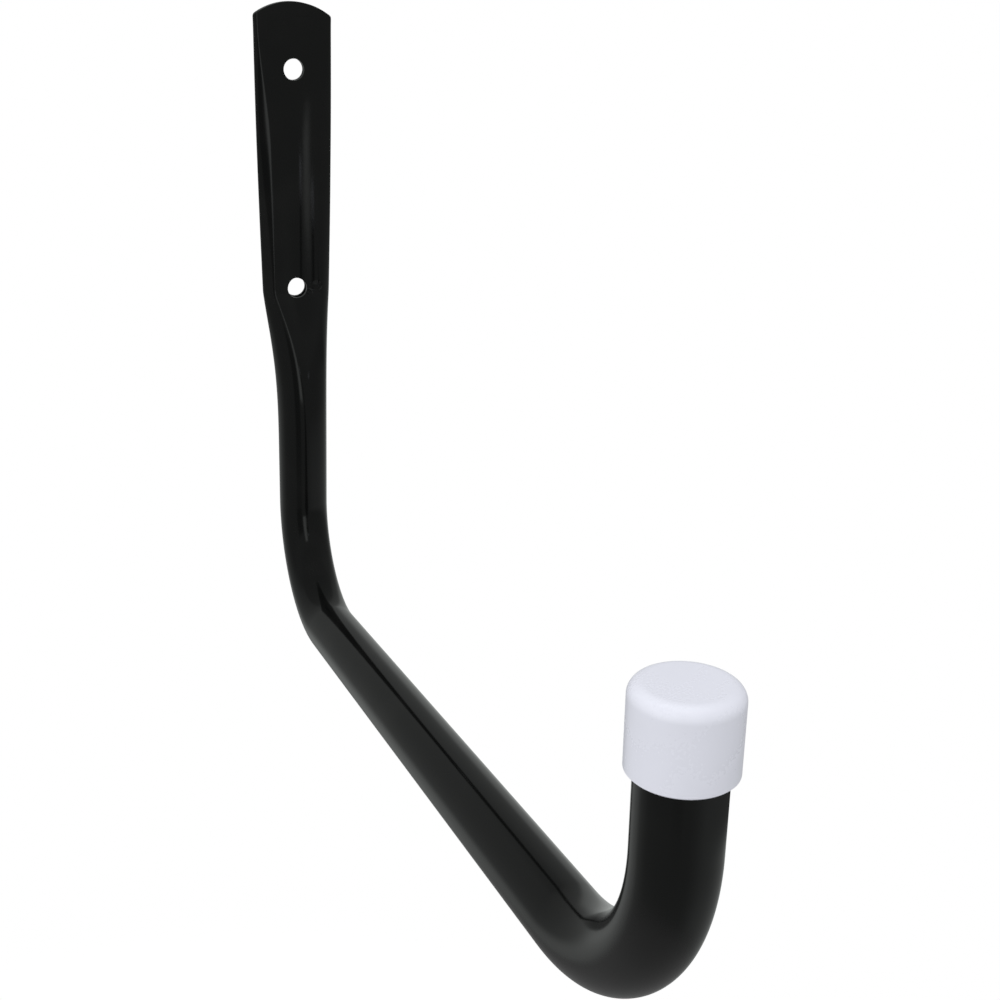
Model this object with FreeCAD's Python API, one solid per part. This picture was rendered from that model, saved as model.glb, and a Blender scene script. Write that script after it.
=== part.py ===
# Garage utility hook: a round tube pressed flat at the wall, bent out into an arm and up at its capped tip
# X runs across the strap, the wall is the plane Y = 0, the arm leaves it towards -Y, and Z is up
# The origin is on the wall, midway between the two screw holes
import FreeCAD
import Part
import math
import os

# Tube, in millimetres
tube_d = 19.0
tube_wall = 1.2

# Strap: the pressed end that is screwed to the wall
hole_spacing = 80.0
hole_d = 7.5
end_margin = 18.0
end_rise = 4.8
end_corner_r = 2.0
press_gap = 0.3
crest_low = 6.2
land_inset = 3.9
land_run = 45.0
foot_share = 0.25
shoulder_power = 1.25
back_skim = 0.05

# Neck: where the pressed section opens to the round tube
neck_drop = 1.0
neck_length = 67.0
neck_ramp = 1.2
neck_fade = 3.5
wall_gap = 0.3

# Bends and straights of the round tube, bend radii to the centre line, angles in degrees
leg_straight = 18.5
leg_bend_r = 38.0
arm_rise = 10.0
arm_length = 210.0
tip_bend_r = 48.5
tip_lean = 6.5
tip_bare = 18.0

# Cap: a moulded cup pushed over the tip
cap_length = 18.4
cap_wall = 1.8
cap_top = 1.8
cap_play = 0.1
cap_edge_r = 3.0
cap_rim_bevel = 0.4

# How finely the pressed sections are drawn
outline_points = 80
strap_sections = 10
neck_sections = 12
neck_crowding = 1.35
joint_tolerance = 0.001

tube_r = tube_d / 2
bore_r = tube_r - tube_wall
flat_t = 2 * tube_wall + press_gap
high_hole_z = hole_spacing / 2
low_hole_z = -hole_spacing / 2
end_z = high_hole_z + end_margin
neck_top_z = low_hole_z - neck_drop
neck_end_z = neck_top_z - neck_length
bend_z = neck_end_z - leg_straight
axis_y = -tube_r - wall_gap
bore_length = 2 * math.pi * bore_r
land_full = (bore_length - math.pi * press_gap) / 4


def ease(share):
    share = min(max(share, 0.0), 1.0)
    return share * share * (3 - 2 * share)


# Share of the way from the pressed section to the round one: a quick ramp that fades out slowly
def opened(z):
    share = min(max((neck_top_z - z) / neck_length, 0.0), 1.0)
    return 1 - (1 - share ** neck_ramp) ** neck_fade


# Half of the bore's outline, with its normals: a flat back, a side lobe and a front that dips in the middle
def half_bore(land, lobe, crest, middle, open_share):
    rise = crest - 2 * tube_wall
    dip = crest - middle
    land = max(land, 1e-3)
    foot = rise * (foot_share + (0.5 - foot_share) * open_share)
    power = shoulder_power + (2 - shoulder_power) * open_share
    points = []
    for i in range(60):
        points.append((land * i / 60, -tube_wall, 0.0, 1.0))
    for i in range(241):
        turn = math.pi / 2 - math.pi * i / 240
        back = turn >= 0
        tall = foot if back else rise - foot
        curve = 4 - power if back else power
        side = 1 if back else -1
        out_share = max(math.cos(turn), 0.0) ** (2 / curve)
        tall_share = abs(math.sin(turn)) ** (2 / curve)
        nx = out_share ** (curve - 1) / lobe
        ny = side * tall_share ** (curve - 1) / tall
        size = math.hypot(nx, ny)
        y = -tube_wall - foot + side * tall * tall_share
        points.append((land + lobe * out_share, y, nx / size, ny / size))
    for i in range(1, 101):
        share = 1 - i / 100
        y = -crest + tube_wall + dip * (1 + math.cos(math.pi * share)) / 2
        slope = -dip * math.pi / 2 / land * math.sin(math.pi * share)
        size = math.hypot(slope, 1.0)
        points.append((land * share, y, slope / size, -1.0 / size))
    return points


def running_length(points):
    total = [0.0]
    for p, q in zip(points, points[1:]):
        total.append(total[-1] + math.hypot(q[0] - p[0], q[1] - p[1]))
    return total


# Pressing bends the wall and doesn't stretch it, so the lobes are as wide as the bore's length round leaves
def pressed_bore(z):
    open_share = opened(z)
    press = flat_t + (crest_low - flat_t) * max((end_z - z) / (end_z - low_hole_z), 0.0)
    crest = press + (tube_d - press) * open_share
    middle = crest - (press - flat_t) * (1 - open_share) ** 2
    land = (land_full - land_inset * ease((end_z - z) / land_run)) * (1 - open_share)
    low = 0.01
    high = tube_d
    for _ in range(50):
        lobe = (low + high) / 2
        if running_length(half_bore(land, lobe, crest, middle, open_share))[-1] > bore_length / 2:
            high = lobe
        else:
            low = lobe
    return half_bore(land, lobe, crest, middle, open_share)


# The section at a height as four edges of one smooth curve, set off from the bore by a wall or by nothing
def section(z, wall):
    half = [(x + wall * nx, y + wall * ny) for x, y, nx, ny in pressed_bore(z)]
    total = running_length(half)
    shift = back_skim - (back_skim + wall_gap) * opened(z)
    right = []
    at = 0
    for i in range(outline_points // 2 + 1):
        goal = min(2 * i / outline_points, 1.0) * total[-1]
        while at < len(total) - 2 and total[at + 1] < goal:
            at += 1
        part_way = (goal - total[at]) / (total[at + 1] - total[at])
        x = half[at][0] + (half[at + 1][0] - half[at][0]) * part_way
        y = half[at][1] + (half[at + 1][1] - half[at][1]) * part_way
        right.append((x, y + shift))
    left = [(-x, y) for x, y in reversed(right[1:-1])]
    points = [FreeCAD.Vector(x, y, z) for x, y in right + left]
    places = [i / outline_points for i in range(outline_points + 1)]
    curve = Part.BSplineCurve()
    curve.interpolate(Points=points, PeriodicFlag=True, Parameters=places)
    edges = []
    for i in range(4):
        quarter = curve.copy()
        quarter.segment(i / 4, (i + 1) / 4)
        edges.append(quarter.toShape())
    return edges


def section_heights():
    over = end_z + end_rise + tube_wall
    heights = [over - (over - neck_top_z) * i / strap_sections for i in range(strap_sections)]
    for i in range(neck_sections + 1):
        heights.append(neck_top_z - neck_length * (i / neck_sections) ** neck_crowding)
    return heights


# The offcut above the strap's end: it leaves an arc between two small corners
def end_offcut():
    half_w = land_full + press_gap / 2 + tube_wall
    arc_r = (half_w ** 2 + end_rise ** 2) / (2 * end_rise)
    arc_z = end_z + end_rise - arc_r
    corner_x = half_w - end_corner_r
    corner_z = arc_z + math.sqrt((arc_r - end_corner_r) ** 2 - corner_x ** 2)
    lean = math.atan2(corner_x, corner_z - arc_z)
    halfway = (lean + math.pi / 2) / 2

    def at(x, z):
        return FreeCAD.Vector(x, -tube_d, z)

    def corner(side):
        foot = at(side * half_w, corner_z)
        mid_x = corner_x + end_corner_r * math.sin(halfway)
        mid = at(side * mid_x, corner_z + end_corner_r * math.cos(halfway))
        meet = at(side * arc_r * math.sin(lean), arc_z + arc_r * math.cos(lean))
        return foot, mid, meet

    right, right_mid, right_meet = corner(1)
    left, left_mid, left_meet = corner(-1)
    outer = [left, at(-2 * half_w, corner_z), at(-2 * half_w, end_z + tube_d)]
    outer += [at(2 * half_w, end_z + tube_d), at(2 * half_w, corner_z), right]
    edges = [
        Part.Arc(right, right_mid, right_meet).toShape(),
        Part.Arc(right_meet, at(0, end_z + end_rise), left_meet).toShape(),
        Part.Arc(left_meet, left_mid, left).toShape(),
    ]
    edges += [Part.makeLine(p, q) for p, q in zip(outer, outer[1:])]
    return Part.Face(Part.Wire(edges)).extrude(FreeCAD.Vector(0, 2 * tube_d, 0))


def screw_hole(z):
    return Part.makeCylinder(hole_d / 2, 2 * tube_d, FreeCAD.Vector(0, -tube_d, z), FreeCAD.Vector(0, 1, 0))


# A solid through the sections, with a ruled face between each pair of matching edges
def skinned(sections):
    faces = [Part.Face(Part.Wire(sections[0])), Part.Face(Part.Wire(sections[-1]))]
    for upper, lower in zip(sections, sections[1:]):
        for high, low in zip(upper, lower):
            faces.append(Part.makeRuledSurface(high, low))
    shell = Part.Shell(faces)
    shell.sewShape()
    solid = Part.Solid(shell)
    if solid.Volume < 0:
        solid.reverse()
    return solid


def pressed_tube():
    heights = section_heights()
    outside = skinned([section(z, tube_wall) for z in heights])
    inside = skinned([section(z, 0.0) for z in heights])
    corner = FreeCAD.Vector(-2 * tube_d, 0, heights[-1])
    behind_wall = Part.makeBox(4 * tube_d, tube_d, heights[0] - heights[-1], corner)
    return outside.cut([inside, behind_wall, end_offcut(), screw_hole(high_hole_z), screw_hole(low_hole_z)])


# The round tube is walked from the neck to the tip, and both bends turn about one axis across the hook
turn_axis = FreeCAD.Vector(-1, 0, 0)


def turned(vector, degrees):
    return FreeCAD.Rotation(turn_axis, degrees).multVec(vector)


def disc(point, heading, radius):
    return Part.Face(Part.Wire([Part.Circle(point, heading, radius).toShape()]))


def ring(point, heading):
    return disc(point, heading, tube_r).cut(disc(point, heading, bore_r))


def straight(point, heading, length):
    return ring(point, heading).extrude(heading * length), point + heading * length


def bend(point, heading, radius, degrees):
    centre = point + turned(heading, 90) * radius
    piece = ring(point, heading).revolve(centre, turn_axis, degrees)
    return piece, centre + turned(point - centre, degrees), turned(heading, degrees)


# Returns the whole tube, the middle of its end and the way that end points
def hook_tube():
    point = FreeCAD.Vector(0, axis_y, neck_end_z)
    heading = FreeCAD.Vector(0, 0, -1)
    leg, point = straight(point, heading, leg_straight)
    lower, point, heading = bend(point, heading, leg_bend_r, 90 + arm_rise)
    arm, point = straight(point, heading, arm_length)
    upper, point, heading = bend(point, heading, tip_bend_r, 90 - arm_rise + tip_lean)
    tip, point = straight(point, heading, tip_bare + cap_length - cap_top)
    whole = pressed_tube().fuse([leg, lower, arm, upper, tip], joint_tolerance)
    return whole.Solids[0], point, heading


# The cap is turned about its own axis, with its seat on the tube's end at zero, and then set on the tip
def end_cap(seat, heading):
    inner_r = tube_r + cap_play
    side_r = inner_r + cap_wall
    rim_z = cap_top - cap_length

    def at(r, z):
        return FreeCAD.Vector(r, 0, z)

    edge_share = cap_edge_r * (1 - math.sqrt(0.5))
    foot = at(side_r, cap_top - cap_edge_r)
    crown = at(side_r - cap_edge_r, cap_top)
    top_edge = Part.Arc(foot, at(side_r - edge_share, cap_top - edge_share), crown)
    up = [at(0, 0), at(inner_r, 0), at(inner_r, rim_z), at(side_r - cap_rim_bevel, rim_z)]
    up += [at(side_r, rim_z + cap_rim_bevel), foot]
    back = [crown, at(0, cap_top), at(0, 0)]
    edges = [Part.makeLine(p, q) for p, q in zip(up, up[1:])]
    edges.append(top_edge.toShape())
    edges += [Part.makeLine(p, q) for p, q in zip(back, back[1:])]
    cup = Part.Face(Part.Wire(edges)).revolve(FreeCAD.Vector(), FreeCAD.Vector(0, 0, 1), 360)
    cup.Placement = FreeCAD.Placement(seat, FreeCAD.Rotation(FreeCAD.Vector(0, 0, 1), heading))
    return cup


os.makedirs("parts", exist_ok=True)
tube, tip_end, tip_heading = hook_tube()
cap = end_cap(tip_end, tip_heading)
tube.exportStep("parts/hook_tube.step")
cap.exportStep("parts/end_cap.step")
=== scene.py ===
import bpy
import math
import numpy as np
from mathutils import Matrix, Vector


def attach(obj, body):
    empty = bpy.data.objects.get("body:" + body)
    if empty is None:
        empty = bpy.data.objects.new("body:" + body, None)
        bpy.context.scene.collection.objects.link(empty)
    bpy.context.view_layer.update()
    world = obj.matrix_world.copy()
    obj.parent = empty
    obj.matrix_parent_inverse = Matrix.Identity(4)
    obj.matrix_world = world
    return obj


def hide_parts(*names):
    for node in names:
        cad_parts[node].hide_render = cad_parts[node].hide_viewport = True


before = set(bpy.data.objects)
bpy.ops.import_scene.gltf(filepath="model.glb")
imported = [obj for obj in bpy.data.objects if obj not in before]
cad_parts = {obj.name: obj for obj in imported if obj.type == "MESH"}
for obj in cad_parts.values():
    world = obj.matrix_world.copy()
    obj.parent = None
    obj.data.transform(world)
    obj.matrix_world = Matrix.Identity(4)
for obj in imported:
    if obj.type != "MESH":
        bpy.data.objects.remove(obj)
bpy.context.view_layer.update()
print("frame loaded:", sorted(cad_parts))


class Flow:  # a socket that can be used in sums
    def __init__(self, tree, socket=None):
        self.tree = tree
        self.socket = socket

    def add(self, kind, settings=None, sockets=None, out=0):  # a node of any kind
        node = self.tree.nodes.new(kind)
        for key, value in (settings or {}).items():
            setattr(node, key, value)
        for key, value in (sockets or {}).items():
            if isinstance(value, Flow):
                self.tree.links.new(value.socket, node.inputs[key])
            else:
                node.inputs[key].default_value = value
        return Flow(self.tree, node.outputs[out]) if len(node.outputs) else node

    def sum(self, operation, first, second):
        return self.add("ShaderNodeMath", {"operation": operation}, {0: first, 1: second})

    def __add__(self, other):
        return self.sum("ADD", self, other)

    def __radd__(self, other):
        return self.sum("ADD", other, self)

    def __sub__(self, other):
        return self.sum("SUBTRACT", self, other)

    def __rsub__(self, other):
        return self.sum("SUBTRACT", other, self)

    def __mul__(self, other):
        return self.sum("MULTIPLY", self, other)

    def __rmul__(self, other):
        return self.sum("MULTIPLY", other, self)

    def split(self, vector):
        parts = self.add("ShaderNodeSeparateXYZ", None, {0: vector}).socket.node.outputs
        return [Flow(self.tree, part) for part in parts]

    def blend(self, share, first, second):
        return self.add("ShaderNodeMix", {"data_type": "RGBA"}, {0: share, 6: first, 7: second}, 2)

    def fade(self, value, low, high):  # 0 below low, 1 above high, smooth between
        return self.add("ShaderNodeMapRange", {"interpolation_type": "SMOOTHSTEP"},
                        {0: value, 1: low, 2: high, 3: 0.0, 4: 1.0})

    def noise(self, place, scale, detail):
        return self.add("ShaderNodeTexNoise", None, {"Vector": place, "Scale": scale, "Detail": detail})

    def distance(self, place, centre):
        return self.add("ShaderNodeVectorMath", {"operation": "DISTANCE"}, {0: place, 1: centre}, 1)

    def turned(self, normal, start, goal):  # the same normal in another space
        turn = {"vector_type": "NORMAL", "convert_from": start, "convert_to": goal}
        return self.add("ShaderNodeVectorTransform", turn, {0: normal})

    def rays(self):
        kinds = self.add("ShaderNodeLightPath").socket.node.outputs
        names = ("Is Camera Ray", "Is Glossy Ray", "Is Transmission Ray")
        return [Flow(self.tree, kinds[name]) for name in names]


def newMaterial(name):
    material = bpy.data.materials.new(name)
    material.use_nodes = True
    material.node_tree.nodes.clear()
    return material, Flow(material.node_tree)


paint = {  # black gloss paint, in metres
    "colour": (0.0035, 0.0037, 0.0036, 1),
    "thin": (0.0060, 0.0060, 0.0058, 1),  # where the coat is thinner
    "gloss": 0.085,
    "dull": 0.15,
    "ior": 1.5,
    "cloudSize": 38.0,  # clouds, ripples and grains to a metre
    "peelSize": 420.0,
    "grainSize": 2400.0,
    "cloudEdge": (0.45, 0.75),
    "rippleDepth": 0.00002,
    "rippleStrength": 0.22,
    "edgeRound": 0.00035,
    "end": 0.058,  # the strap's top
    "valleyTop": 0.0285,  # below this the valley is shaded flatter
    "flank": (-0.0005, 0.0010, 0.0070, 0.0085),  # x where the valley's right flank fades in and out
    "facing": (-0.7, -0.5),  # y of the normal, from the front round to the side
    "neckFade": (-0.072, -0.060),
    "dents": ((0.0076, -0.0385, 0.0022, 0.0009), (0.0042, -0.0415, 0.0014, 0.0005)),  # x, z, reach, depth
}


# the real strap's valley is shallower low down than the modelled one, so its right flank is shaded flatter
def softValley(flow, place, normal):
    nx, ny, nz = flow.split(flow.turned(normal, "WORLD", "OBJECT"))
    x, _, z = flow.split(place)
    inLow, inHigh, outLow, outHigh = paint["flank"]
    share = flow.fade(x, inLow, inHigh) * (1 - flow.fade(x, outLow, outHigh))
    share = share * (1 - flow.fade(ny, *paint["facing"])) * flow.fade(z, *paint["neckFade"])
    full = paint["end"] - paint["valleyTop"]
    depth = flow.sum("MINIMUM", flow.sum("DIVIDE", full, paint["end"] - z), 1.0)
    level = flow.add("ShaderNodeCombineXYZ", None, {0: nx * (1 - share * (1 - depth)), 1: ny, 2: nz})
    level = flow.add("ShaderNodeVectorMath", {"operation": "NORMALIZE"}, {0: level})
    return flow.turned(level, "OBJECT", "WORLD")


def blackPaint():
    material, flow = newMaterial("blackPaint")
    place = flow.add("ShaderNodeTexCoord", out=3)
    cloud = flow.noise(place, paint["cloudSize"], 3.0)
    peel = flow.noise(place, paint["peelSize"], 1.5)
    grain = flow.noise(place, paint["grainSize"], 2.0)
    thin = flow.fade(cloud, *paint["cloudEdge"])
    colour = flow.blend(thin, paint["colour"], paint["thin"])
    rough = paint["gloss"] + (paint["dull"] - paint["gloss"]) * (0.45 * thin + 0.55 * grain)
    rim = flow.add("ShaderNodeBevel", {"samples": 4}, {"Radius": paint["edgeRound"]})
    flat = flow.add("ShaderNodeVectorMath", {"operation": "MULTIPLY"}, {0: place, 1: (1, 0, 1)})
    dents = 0.0
    for x, z, reach, depth in paint["dents"]:  # small dents where the press let go
        dents = dents + depth * flow.fade(flow.distance(flat, (x, 0, z)), 0.0, reach)
    valley = flow.add("ShaderNodeBump", None, {
        "Strength": 1.0, "Distance": 1.0, "Height": dents, "Normal": softValley(flow, place, rim)})
    bump = flow.add("ShaderNodeBump", None, {
        "Strength": paint["rippleStrength"], "Distance": paint["rippleDepth"],
        "Height": peel + 0.5 * grain, "Normal": valley})
    shader = flow.add("ShaderNodeBsdfPrincipled", None, {
        "Base Color": colour, "Roughness": rough, "Normal": bump, "IOR": paint["ior"]})
    flow.add("ShaderNodeOutputMaterial", None, {"Surface": shader})
    return material


plastic = {  # white moulded plastic
    "colour": (0.80, 0.815, 0.90, 1),
    "shade": (0.75, 0.765, 0.84, 1),
    "shadeShare": 0.25,
    "gloss": 0.24,
    "dull": 0.36,
    "ior": 1.46,
    "cloudSize": 60.0,
    "cloudEdge": (0.4, 0.75),
    "grainSize": 1500.0,
    "grainDepth": 0.00002,
    "grainStrength": 0.25,
}


def whitePlastic():
    material, flow = newMaterial("whitePlastic")
    place = flow.add("ShaderNodeTexCoord", out=3)
    cloud = flow.fade(flow.noise(place, plastic["cloudSize"], 1.0), *plastic["cloudEdge"])
    grain = flow.noise(place, plastic["grainSize"], 2.0)
    colour = flow.blend(plastic["shadeShare"] * cloud, plastic["colour"], plastic["shade"])
    rough = plastic["gloss"] + (plastic["dull"] - plastic["gloss"]) * (0.6 * cloud + 0.4 * grain)
    bump = flow.add("ShaderNodeBump", None, {
        "Strength": plastic["grainStrength"], "Distance": plastic["grainDepth"], "Height": grain})
    shader = flow.add("ShaderNodeBsdfPrincipled", None, {
        "Base Color": colour, "Roughness": rough, "Normal": bump, "IOR": plastic["ior"]})
    flow.add("ShaderNodeOutputMaterial", None, {"Surface": shader})
    return material


mm = 0.001  # the sizes below are millimetres, as in the CAD
tube = {"d": 19.0, "wall": 1.2, "outline": 144, "bendRows": 60, "boreBendRows": 24, "sharpAngle": 32}
strap = {
    "end": 58.0, "endRise": 4.8, "endRun": 4.0, "cornerR": 2.0, "gap": 0.3, "crestLow": 6.2,
    "landInset": 3.9, "landRun": 45.0, "foot": 0.25, "shoulder": 1.25, "skim": 0.05,
    "rows": 84, "endRows": 10, "backPoints": 60, "sidePoints": 361, "valleyPoints": 100,
}
hole = {"heights": (40.0, -40.0), "d": 7.5, "sides": 96, "depths": (-15.0, 5.0)}
hole["turn"] = 0.3  # of a side, so that the drill's corners miss the skin's own
neck = {"top": -41.0, "length": 67.0, "ramp": 1.2, "fade": 3.5, "wallGap": 0.3, "rows": 60}
route = {
    "leg": 18.5, "legRows": 4, "legR": 38.0, "rise": 10.0, "arm": 210.0, "armRows": 6,
    "tipR": 48.5, "lean": 6.5, "tip": 34.6, "tipRows": 2,
}
flatT = 2 * tube["wall"] + strap["gap"]
boreLength = 2 * math.pi * (tube["d"] / 2 - tube["wall"])
landFull = (boreLength - math.pi * strap["gap"]) / 4


def ease(share):
    share = min(max(share, 0.0), 1.0)
    return share * share * (3 - 2 * share)


def opened(z):  # 0 on the strap, 1 on the round tube
    share = min(max((neck["top"] - z) / neck["length"], 0.0), 1.0)
    return 1 - (1 - share ** neck["ramp"]) ** neck["fade"]


# x, y and outward normal of half the bore, from the back's middle round to the front's
def halfBore(land, lobe, crest, middle, share):
    wall = tube["wall"]
    rise, dip, land = crest - 2 * wall, crest - middle, max(land, 1e-3)
    foot = rise * (strap["foot"] + (0.5 - strap["foot"]) * share)
    power = strap["shoulder"] + (2 - strap["shoulder"]) * share
    count = strap["backPoints"]
    back = np.linspace(0, land, count, endpoint=False)
    rows = [np.stack([back, np.full(count, -wall), np.zeros(count), np.ones(count)], 1)]
    turn = np.linspace(math.pi / 2, -math.pi / 2, strap["sidePoints"])
    side = np.where(turn >= 0, 1.0, -1.0)
    tall = np.where(turn >= 0, foot, rise - foot)
    curve = np.where(turn >= 0, 4 - power, power)
    outShare = np.maximum(np.cos(turn), 0.0) ** (2 / curve)
    tallShare = np.abs(np.sin(turn)) ** (2 / curve)
    nx = outShare ** (curve - 1) / lobe
    ny = side * tallShare ** (curve - 1) / tall
    size = np.hypot(nx, ny)
    x, y = land + lobe * outShare, -wall - foot + side * tall * tallShare
    rows.append(np.stack([x, y, nx / size, ny / size], 1))
    count = strap["valleyPoints"]
    share = 1 - np.arange(1, count + 1) / count
    slope = -dip * math.pi / 2 / land * np.sin(math.pi * share)
    size = np.hypot(slope, 1.0)
    y = -crest + wall + dip * (1 + np.cos(math.pi * share)) / 2
    rows.append(np.stack([land * share, y, slope / size, -1 / size], 1))
    return np.concatenate(rows)


def running(points):  # length along the outline, point by point
    steps = np.hypot(np.diff(points[:, 0]), np.diff(points[:, 1]))
    return np.concatenate([[0.0], np.cumsum(steps)])


def pressedBore(z):  # the wall bends but doesn't stretch, so the outline's length sets the lobe's width
    share = opened(z)
    fall = max((strap["end"] - z) / (strap["end"] - hole["heights"][1]), 0.0)
    press = flatT + (strap["crestLow"] - flatT) * fall
    crest = press + (tube["d"] - press) * share
    middle = crest - (press - flatT) * (1 - share) ** 2
    land = (landFull - strap["landInset"] * ease((strap["end"] - z) / strap["landRun"])) * (1 - share)
    low, high = 0.01, tube["d"]
    for _ in range(40):
        lobe = (low + high) / 2
        if running(halfBore(land, lobe, crest, middle, share))[-1] > boreLength / 2:
            high = lobe
        else:
            low = lobe
    return halfBore(land, lobe, crest, middle, share)


def sectionRing(z, wall):
    half = pressedBore(z)
    points = half[:, :2] + wall * half[:, 2:]
    along = running(points)
    count = tube["outline"]
    goal = np.linspace(0, along[-1], count // 2 + 1)
    x = np.interp(goal, along, points[:, 0])
    y = np.interp(goal, along, points[:, 1]) + strap["skim"] - (strap["skim"] + neck["wallGap"]) * opened(z)
    x, y = np.concatenate([x, -x[-2:0:-1]]), np.concatenate([y, y[-2:0:-1]])
    return np.stack([x, np.minimum(y, 0.0), np.full(count, z)], 1)


def endHeight(x):  # the arc that the strap's end is cut to, with its two small corners
    halfW = landFull + strap["gap"] / 2 + tube["wall"]
    rise, corner = strap["endRise"], strap["cornerR"]
    arcR = (halfW ** 2 + rise ** 2) / (2 * rise)
    arcZ = strap["end"] + rise - arcR
    cornerX = halfW - corner
    cornerZ = arcZ + math.sqrt((arcR - corner) ** 2 - cornerX ** 2)
    x = np.abs(x)
    arc = arcZ + np.sqrt(arcR ** 2 - x ** 2)
    turn = cornerZ + np.sqrt(np.maximum(corner ** 2 - (x - cornerX) ** 2, 0.0))
    meet = arcR * cornerX / math.hypot(cornerX, cornerZ - arcZ)
    return np.where(x > meet, turn, arc)


def strapRings(wall):
    base = strap["end"] - strap["endRun"]
    rings = []
    for i in range(strap["endRows"]):
        share = 1 - i / strap["endRows"]
        ring = sectionRing(base + (strap["end"] - base) * share, wall)
        ring[:, 2] = base + (endHeight(ring[:, 0]) - base) * share
        rings.append(ring)
    for z in np.linspace(base, neck["top"], strap["rows"], endpoint=False):
        rings.append(sectionRing(z, wall))
    for i in range(neck["rows"] + 1):
        rings.append(sectionRing(neck["top"] - neck["length"] * i / neck["rows"], wall))
    return rings


def roundRings(r, bendRows):
    count = tube["outline"]
    around = np.arange(count) * 2 * math.pi / count
    rings = []

    def ring(y, z, turn):
        by, bz = math.cos(turn), -math.sin(turn)
        out = r * np.cos(around)
        rings.append(np.stack([r * np.sin(around), y + by * out, z + bz * out], 1))

    y, z, turn = -tube["d"] / 2 - neck["wallGap"], neck["top"] - neck["length"], 0.0
    steps = [
        ("run", route["leg"], route["legRows"]),
        ("bend", route["legR"], 90 + route["rise"]),
        ("run", route["arm"], route["armRows"]),
        ("bend", route["tipR"], 90 - route["rise"] + route["lean"]),
        ("run", route["tip"], route["tipRows"]),
    ]
    for kind, size, amount in steps:
        if kind == "run":
            for i in range(1, amount + 1):
                ring(y - math.sin(turn) * size * i / amount, z - math.cos(turn) * size * i / amount, turn)
            y, z = y - math.sin(turn) * size, z - math.cos(turn) * size
        else:
            cy, cz = y - math.cos(turn) * size, z + math.sin(turn) * size
            for i in range(1, bendRows + 1):
                at = turn + math.radians(amount) * i / bendRows
                ring(cy + math.cos(at) * size, cz - math.sin(at) * size, at)
            turn += math.radians(amount)
            y, z = cy + math.cos(turn) * size, cz - math.sin(turn) * size
    return rings


def skin(rings, start, flip):
    count = tube["outline"]
    faces = []
    for i in range(len(rings) - 1):
        for j in range(count):
            a, b = start + i * count + j, start + i * count + (j + 1) % count
            quad = (a, b, b + count, a + count)
            faces.append(quad[::-1] if flip else quad)
    return faces


def hookTube():
    count = tube["outline"]
    outer = strapRings(tube["wall"]) + roundRings(tube["d"] / 2, tube["bendRows"])
    inner = strapRings(0.0) + roundRings(tube["d"] / 2 - tube["wall"], tube["boreBendRows"])
    points = np.concatenate(outer + inner) * mm
    begin = len(outer) * count
    faces = skin(outer, 0, False) + skin(inner, begin, True)
    outEnd, inEnd = begin - count, begin + (len(inner) - 1) * count
    for j in range(count):  # the two cut ends, between the outline and the bore
        k = (j + 1) % count
        faces.append((begin + j, begin + k, k, j))
        faces.append((outEnd + j, outEnd + k, inEnd + k, inEnd + j))
    mesh = bpy.data.meshes.new("hookTube")
    mesh.from_pydata(points.tolist(), [], faces)
    mesh.validate()
    piece = bpy.data.objects.new("hookTube", mesh)
    bpy.context.scene.collection.objects.link(piece)
    return piece


def drill(piece):  # two round holes through both walls
    count, r = hole["sides"], hole["d"] / 2
    turns = (np.arange(count) + hole["turn"]) * 2 * math.pi / count
    for z in hole["heights"]:
        ring = [(r * math.cos(t), r * math.sin(t) + z) for t in turns]
        points = [(x * mm, y * mm, h * mm) for y in hole["depths"] for x, h in ring]
        faces = [(count + i, count + (i + 1) % count, (i + 1) % count, i) for i in range(count)]
        faces += [tuple(range(count)), tuple(range(count, 2 * count))[::-1]]
        bit = bpy.data.meshes.new("bit")
        bit.from_pydata(points, [], faces)
        tool = bpy.data.objects.new("bit", bit)
        bpy.context.scene.collection.objects.link(tool)
        cut = piece.modifiers.new("hole", "BOOLEAN")
        cut.operation, cut.solver, cut.object = "DIFFERENCE", "EXACT", tool
        bpy.context.view_layer.update()
        drilled = piece.evaluated_get(bpy.context.evaluated_depsgraph_get())
        done = bpy.data.meshes.new_from_object(drilled)
        piece.modifiers.clear()
        piece.data = done
        bpy.data.objects.remove(tool)


body = hookTube()
drill(body)
body.data.shade_smooth()
body.data.set_sharp_from_angle(angle=math.radians(tube["sharpAngle"]))
body.data.materials.clear()
body.data.materials.append(blackPaint())
for face in body.data.polygons:
    face.material_index = 0
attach(body, "root")
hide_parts("hook_tube")
print("tube: smooth skin,", len(body.data.polygons), "faces")

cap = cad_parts["end_cap"].data
cap.materials.clear()
cap.materials.append(whitePlastic())
print("cap: white plastic")


stage = {
    "floorZ": -1.2,  # well below the hook, as under a wall
    "floorSize": 2.4,
    "floorMiddle": (-0.20, -0.20),
    "floorFade": (0.65, 1.15),  # metres from the middle, so that no edge shows in the paint
    "floorColour": (0.25, 0.25, 0.25, 1),
    "whiteGlow": 0.95,  # with the floor's own shading this comes to white
    "glossGlow": 0.02,
}


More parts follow.
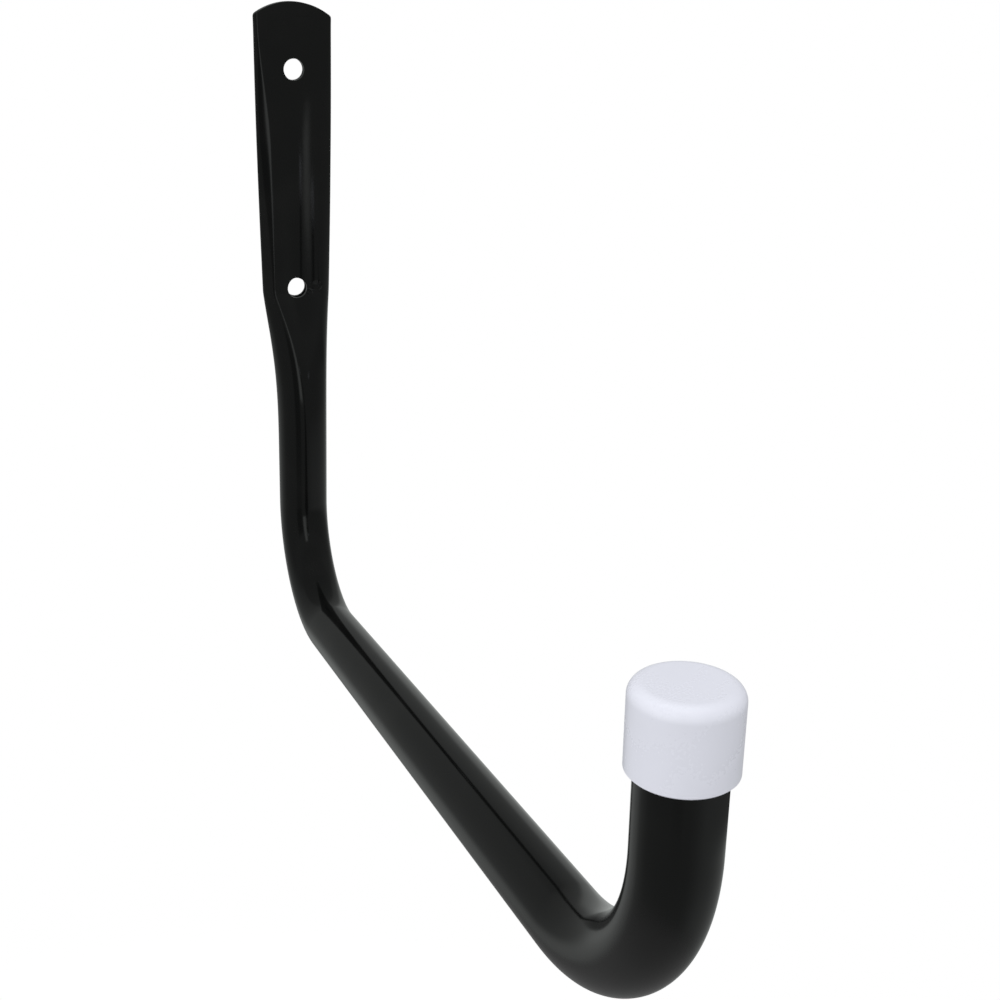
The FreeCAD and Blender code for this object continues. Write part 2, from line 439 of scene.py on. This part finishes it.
def paleFloor():
    half, z, (x, y) = stage["floorSize"] / 2, stage["floorZ"], stage["floorMiddle"]
    corners = [(x + i * half, y + j * half, z) for i, j in ((-1, -1), (1, -1), (1, 1), (-1, 1))]
    mesh = bpy.data.meshes.new("floor")
    mesh.from_pydata(corners, [], [(0, 1, 2, 3)])
    floor = bpy.data.objects.new("floor", mesh)
    bpy.context.scene.collection.objects.link(floor)
    material, flow = newMaterial("floorPaper")
    camera, gloss, through = flow.rays()
    glow = stage["whiteGlow"] * (camera + through) + stage["glossGlow"] * gloss
    paper = flow.add("ShaderNodeBsdfDiffuse", None, {"Color": stage["floorColour"]})
    white = flow.add("ShaderNodeEmission", None, {"Color": (1, 1, 1, 1), "Strength": glow})
    both = flow.add("ShaderNodeAddShader", None, {0: paper, 1: white})
    clear = flow.add("ShaderNodeBsdfTransparent")
    away = flow.distance(flow.add("ShaderNodeTexCoord", out=3), (x, y, z))
    share = flow.fade(away, *stage["floorFade"])
    faded = flow.add("ShaderNodeMixShader", None, {0: share, 1: both, 2: clear})
    flow.add("ShaderNodeOutputMaterial", None, {"Surface": faded})
    mesh.materials.append(material)


room = {
    "dome": 0.50,  # even light on the object
    "tint": (0.96, 1.0, 0.975, 1),
    "level": 0.15,  # what the paint shows: dim walls, with the patches brighter or darker
    # bearing from the front over the left, half width, its edge, fade in and out going up (degrees), gain
    "patches": {
        "dimFront": (34, 12, 8, -31, -19, 8, 20, -0.09),
        "paleDoor": (12, 6, 6, -11.5, -9.5, 27, 29, 0.6),
        "upperFront": (0, 100, 40, 6, 18, 32, 44, 0.02),
        "rightWall": (-85, 70, 50, -75, -40, -25, -15, 0.11),
        "backWall": (180, 65, 30, -60, -30, 23, 33, 0.08),
        "backRight": (-150, 18, 16, -60, -35, -1, 9, 0.20),
        "backLeft": (156, 20, 20, -60, -30, -32, -18, 0.17),
    },
}


def patch(flow, way, centre, half, soft, *rises):
    turn, x, y, z = math.radians(centre), *way
    side = x * -math.cos(turn) + y * math.sin(turn)
    ahead = y * -math.cos(turn) - x * math.sin(turn)
    off = flow.sum("ABSOLUTE", flow.sum("ARCTAN2", side, ahead), 0.0)
    height = flow.sum("ARCSINE", z, 0.0)
    low, lowFull, high, highEnd = (math.radians(rise) for rise in rises)
    across = 1 - flow.fade(off, math.radians(half - soft / 2), math.radians(half + soft / 2))
    return across * flow.fade(height, low, lowFull) * (1 - flow.fade(height, high, highEnd))


def studioRoom():
    world = bpy.data.worlds.new("studio")
    bpy.context.scene.world = world
    world.use_nodes = True
    world.node_tree.nodes.clear()
    flow = Flow(world.node_tree)
    way = flow.split(flow.add("ShaderNodeTexCoord", out=0))  # the direction looked in
    level = room["level"]
    for *place, gain in room["patches"].values():
        level = level + gain * patch(flow, way, *place)
    camera, gloss, through = flow.rays()
    level = room["dome"] + gloss * (level - room["dome"])
    light = flow.add("ShaderNodeBackground", None, {
        "Color": flow.blend(gloss, (1, 1, 1, 1), room["tint"]),
        "Strength": level + (camera + through) * (1 - level)})  # white where it is seen itself
    flow.add("ShaderNodeOutputWorld", None, {"Surface": light})


lamps = {  # place, what it faces, width and height, watts
    "leftBox": ((-1.20, -0.60, 0.15), (0, -0.2, -0.1), (1.1, 1.1), 7.0),
    "topBox": ((0.0, -0.25, 1.25), (0, -0.25, -0.1), (1.2, 1.2), 8.7),
    "rightBox": ((0.90, -1.10, 0.05), (0, -0.2, -0.1), (1.1, 1.1), 3.0),
}


def softBox(name, place, target, size, power):
    lamp = bpy.data.lights.new(name, "AREA")
    lamp.shape = "RECTANGLE"
    lamp.size, lamp.size_y = size
    lamp.energy = power
    box = bpy.data.objects.new(name, lamp)
    box.location = place
    box.rotation_euler = (Vector(target) - Vector(place)).to_track_quat("-Z", "Y").to_euler()
    box.visible_glossy = False  # no lamp shows in the paint
    bpy.context.scene.collection.objects.link(box)


paleFloor()
studioRoom()
for name, settings in lamps.items():
    softBox(name, *settings)
print("stage: floor, room and", len(lamps), "soft boxes")


view = {  # the photograph's viewpoint, metres and degrees
    "place": (-0.11417, -0.45975, 0.08570),
    "yaw": 24.263,
    "pitch": 24.425,
    "roll": -3.563,
    "lens": 44.08,
}


def photoCamera():
    yaw, pitch, roll = (math.radians(view[key]) for key in ("yaw", "pitch", "roll"))
    ahead = Vector((math.sin(yaw) * math.cos(pitch), math.cos(yaw) * math.cos(pitch), -math.sin(pitch)))
    level = Vector((math.cos(yaw), -math.sin(yaw), 0))
    below = ahead.cross(level)
    across = math.cos(roll) * level + math.sin(roll) * below
    down = -math.sin(roll) * level + math.cos(roll) * below
    lens = bpy.data.cameras.new("photoCamera")
    lens.sensor_width = 36.0
    lens.sensor_fit = "HORIZONTAL"
    lens.lens = view["lens"]
    lens.clip_start = 0.01
    camera = bpy.data.objects.new("photoCamera", lens)
    turn = Matrix((across, -down, -ahead)).transposed().to_4x4()
    camera.matrix_world = Matrix.Translation(view["place"]) @ turn
    bpy.context.scene.collection.objects.link(camera)
    bpy.context.scene.camera = camera


photoCamera()
bpy.context.scene.view_settings.view_transform = "Standard"
print("camera set")
